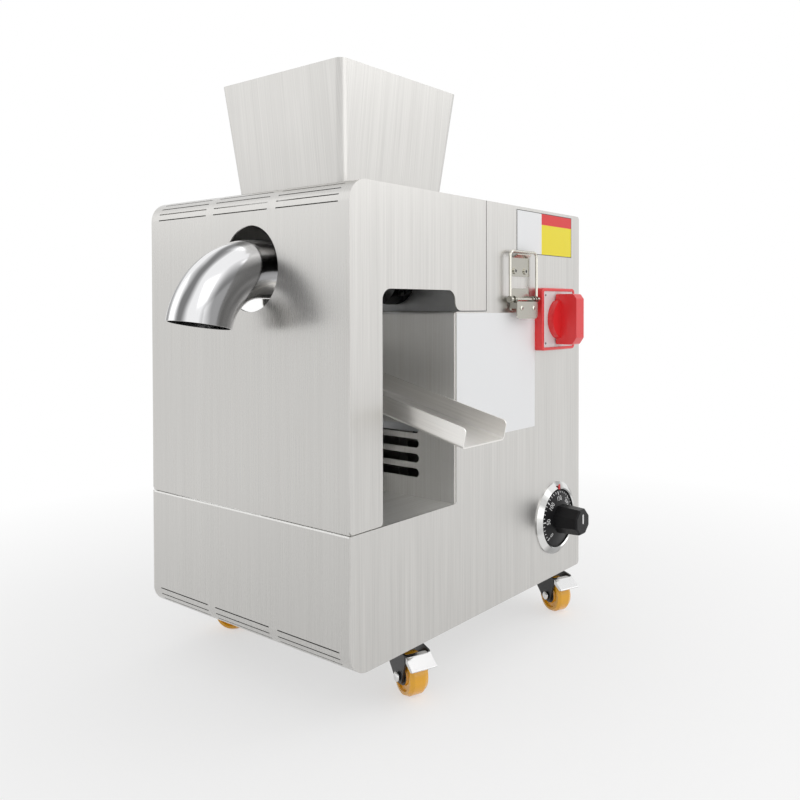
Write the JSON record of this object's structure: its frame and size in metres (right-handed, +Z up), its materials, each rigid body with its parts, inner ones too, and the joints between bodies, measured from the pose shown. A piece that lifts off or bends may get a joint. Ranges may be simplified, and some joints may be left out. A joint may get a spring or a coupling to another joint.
{
  "type": "screw oil press",
  "caption": "Countertop screw oil press: stainless casing on braked castors, hopper, cake elbow, oil chute, switch and heat dial, with drive and press screw inside.",
  "frame": {"origin": "on the floor under the centre of the casing's plan", "axes": "+X to the operator's right, the side with the switch, the dial and the oil chute; front with the cake elbow faces -Y; +Z up"},
  "size_m": [0.3554, 0.4184, 0.536],
  "materials": {
    "brushed_panel": "vertical brushed grain, satin",
    "polished_tube": "polished",
    "cast_housing": "matt dark paint",
    "machined_steel": "turned",
    "black_flange": "blackened, satin",
    "zinc_plate": "light zinc, satin",
    "bright_latch": "bright plated",
    "red_switch": "satin red moulding",
    "black_dial": "satin black moulding",
    "orange_wheel": "orange moulding",
    "fork_black": "black paint",
    "pedal_bright": "bright plated",
    "blower_grey": "matt moulding",
    "winding_steel": "laminated"
  },
  "bodies": {
    "casing": {"base_wrap": "brushed_panel", "base_deck": "brushed_panel", "right_side_panel": "brushed_panel", "left_side_panel": "brushed_panel", "partition_panel": "brushed_panel", "roof_panel": "brushed_panel", "rear_cover": "brushed_panel", "hood_wrap": "brushed_panel", "hood_right_side": "brushed_panel", "hood_left_side": "brushed_panel", "chute_bracket": "brushed_panel", "drive_stand": "brushed_panel", "bulkhead_plate": "zinc_plate", "press_cage": "machined_steel", "feed_body": "machined_steel", "cake_nozzle": "machined_steel", "shaft_bearings": "machined_steel", "flange_bolts": "machined_steel", "caster_stems": "machined_steel", "heater_band": "bright_latch", "drive_neck": "black_flange", "gearbox_housing": "cast_housing", "gearbox_cover": "cast_housing", "motor_housing": "cast_housing", "fan_cowl": "cast_housing", "motor_stator": "winding_steel", "switch_body": "blower_grey", "power_inlet": "blower_grey", "switch_plate": "red_switch", "dial_backplate": "black_dial", "thermostat_body": "black_dial", "dial_ring": "bright_latch", "latch_keeper": "bright_latch", "latch_base": "bright_latch"},
    "hopper": {"hopper_shell": "brushed_panel", "hopper_funnel": "brushed_panel"},
    "cake_elbow": {"outlet_elbow": "polished_tube"},
    "chute": {"oil_chute": "brushed_panel"},
    "power_switch": {"switch_knob": "red_switch"},
    "heat_knob": {"thermostat_knob": "black_dial"},
    "latch_handle": {"latch_lever": "bright_latch"},
    "latch_bail": {"latch_loop": "bright_latch"},
    "screw_shaft": {"press_screw": "machined_steel", "output_gear": "machined_steel"},
    "lay_shaft": {"layshaft_gear": "machined_steel", "layshaft_pinion": "machined_steel"},
    "motor_shaft": {"motor_rotor": "machined_steel", "motor_fan": "blower_grey"},
    "caster_front_right": {"caster_fork_front_right": "fork_black"},
    "wheel_front_right": {"caster_wheel_front_right": "orange_wheel"},
    "brake_front_right": {"caster_pedal_front_right": "pedal_bright"},
    "caster_rear_right": {"caster_fork_rear_right": "fork_black"},
    "wheel_rear_right": {"caster_wheel_rear_right": "orange_wheel"},
    "brake_rear_right": {"caster_pedal_rear_right": "pedal_bright"},
    "caster_front_left": {"caster_fork_front_left": "fork_black"},
    "wheel_front_left": {"caster_wheel_front_left": "orange_wheel"},
    "brake_front_left": {"caster_pedal_front_left": "pedal_bright"},
    "caster_rear_left": {"caster_fork_rear_left": "fork_black"},
    "wheel_rear_left": {"caster_wheel_rear_left": "orange_wheel"},
    "brake_rear_left": {"caster_pedal_rear_left": "pedal_bright"}
  },
  "joints": [
    {"name": "hopper_lift", "type": "slide", "parent": "casing", "child": "hopper", "axis": [0, 0, 1], "range_m": [0, 0.15]},
    {"name": "elbow_turn", "type": "hinge", "parent": "casing", "child": "cake_elbow", "pos_m": [0.0144, -0.172, 0.364], "axis": [0, 1, 0], "range_deg": [-90, 90]},
    {"name": "chute_slide", "type": "slide", "parent": "casing", "child": "chute", "axis": [0.9736, 0, -0.2284], "range_m": [0, 0.12]},
    {"name": "switch_turn", "type": "hinge", "parent": "casing", "child": "power_switch", "pos_m": [0.135, 0.115, 0.319], "axis": [-1, 0, 0], "range_deg": [0, 90]},
    {"name": "heat_turn", "type": "hinge", "parent": "casing", "child": "heat_knob", "pos_m": [0.135, 0.123, 0.108], "axis": [-1, 0, 0], "range_deg": [0, 270]},
    {"name": "latch_handle_turn", "type": "hinge", "parent": "casing", "child": "latch_handle", "pos_m": [0.1405, 0.055, 0.339], "axis": [0, -1, 0], "range_deg": [0, 150]},
    {"name": "latch_bail_turn", "type": "hinge", "parent": "casing", "child": "latch_bail", "pos_m": [0.1405, 0.055, 0.339], "axis": [0, 1, 0], "range_deg": [0, 160]},
    {"name": "motor_spin", "type": "hinge", "parent": "casing", "child": "motor_shaft", "pos_m": [0.0144, 0.066, 0.244], "axis": [0, 1, 0], "continuous": true},
    {"name": "layshaft_spin", "type": "hinge", "parent": "casing", "child": "lay_shaft", "pos_m": [0.0144, 0.01, 0.304], "axis": [0, 1, 0], "continuous": true},
    {"name": "press_spin", "type": "hinge", "parent": "casing", "child": "screw_shaft", "pos_m": [0.0144, 0.01, 0.364], "axis": [0, 1, 0], "continuous": true},
    {"name": "swivel_front_right", "type": "hinge", "parent": "casing", "child": "caster_front_right", "pos_m": [0.1075, -0.084, 0.046], "axis": [0, 0, 1], "continuous": true},
    {"name": "roll_front_right", "type": "hinge", "parent": "caster_front_right", "child": "wheel_front_right", "pos_m": [0.12233, -0.08999, 0.018], "axis": [0.3746, 0.9272, 0], "continuous": true},
    {"name": "brake_press_front_right", "type": "hinge", "parent": "caster_front_right", "child": "brake_front_right", "pos_m": [0.13114, -0.09355, 0.0363], "axis": [0.3746, 0.9272, 0], "range_deg": [0, 9]},
    {"name": "swivel_rear_right", "type": "hinge", "parent": "casing", "child": "caster_rear_right", "pos_m": [0.1075, 0.15, 0.046], "axis": [0, 0, 1], "continuous": true},
    {"name": "roll_rear_right", "type": "hinge", "parent": "caster_rear_right", "child": "wheel_rear_right", "pos_m": [0.12233, 0.14401, 0.018], "axis": [0.3746, 0.9272, 0], "continuous": true},
    {"name": "brake_press_rear_right", "type": "hinge", "parent": "caster_rear_right", "child": "brake_rear_right", "pos_m": [0.13114, 0.14045, 0.0363], "axis": [0.3746, 0.9272, 0], "range_deg": [0, 9]},
    {"name": "swivel_front_left", "type": "hinge", "parent": "casing", "child": "caster_front_left", "pos_m": [-0.1075, -0.084, 0.046], "axis": [0, 0, 1], "continuous": true},
    {"name": "roll_front_left", "type": "hinge", "parent": "caster_front_left", "child": "wheel_front_left", "pos_m": [-0.12163, -0.09151, 0.018], "axis": [0.4695, -0.8829, 0], "continuous": true},
    {"name": "brake_press_front_left", "type": "hinge", "parent": "caster_front_left", "child": "brake_front_left", "pos_m": [-0.13001, -0.09597, 0.0363], "axis": [0.4695, -0.8829, 0], "range_deg": [0, 9]},
    {"name": "swivel_rear_left", "type": "hinge", "parent": "casing", "child": "caster_rear_left", "pos_m": [-0.1075, 0.15, 0.046], "axis": [0, 0, 1], "continuous": true},
    {"name": "roll_rear_left", "type": "hinge", "parent": "caster_rear_left", "child": "wheel_rear_left", "pos_m": [-0.12254, 0.14453, 0.018], "axis": [0.342, -0.9397, 0], "continuous": true},
    {"name": "brake_press_rear_left", "type": "hinge", "parent": "caster_rear_left", "child": "brake_rear_left", "pos_m": [-0.13146, 0.14128, 0.0363], "axis": [0.342, -0.9397, 0], "range_deg": [0, 9]}
  ],
  "couplings": [
    {"joint": "layshaft_spin", "follows": "motor_spin", "ratio": -0.25},
    {"joint": "press_spin", "follows": "motor_spin", "ratio": 0.0625}
  ]
}
